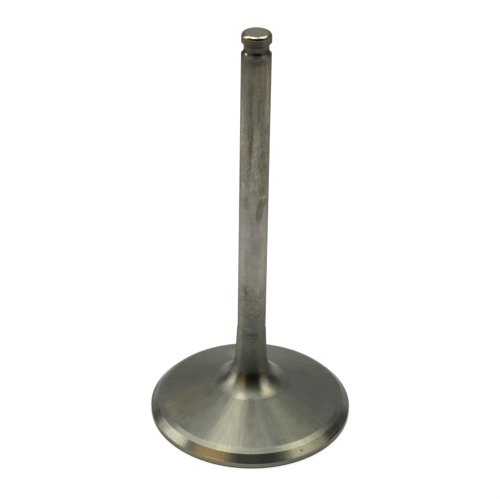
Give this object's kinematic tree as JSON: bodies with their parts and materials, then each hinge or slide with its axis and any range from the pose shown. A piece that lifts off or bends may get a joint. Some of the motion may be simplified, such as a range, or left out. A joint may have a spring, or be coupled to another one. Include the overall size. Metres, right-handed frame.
{
  "type": "engine valve",
  "caption": "Poppet engine valve: a broad flat-faced head with an angled seat, a flared neck, and a slim straight stem with a round keeper groove near its tip.",
  "frame": {"origin": "centre of the flat combustion face, on which the valve stands", "axes": "+Z along the stem's axis, from the head to the tip; the valve is round about Z, so X and Y are free"},
  "size_m": [0.0508, 0.0508, 0.1038],
  "materials": {
    "valve_steel": "turned and ground steel, with used, faintly stained ground stem"
  },
  "bodies": {
    "root": {"valve": "valve_steel"}
  },
  "joints": []
}
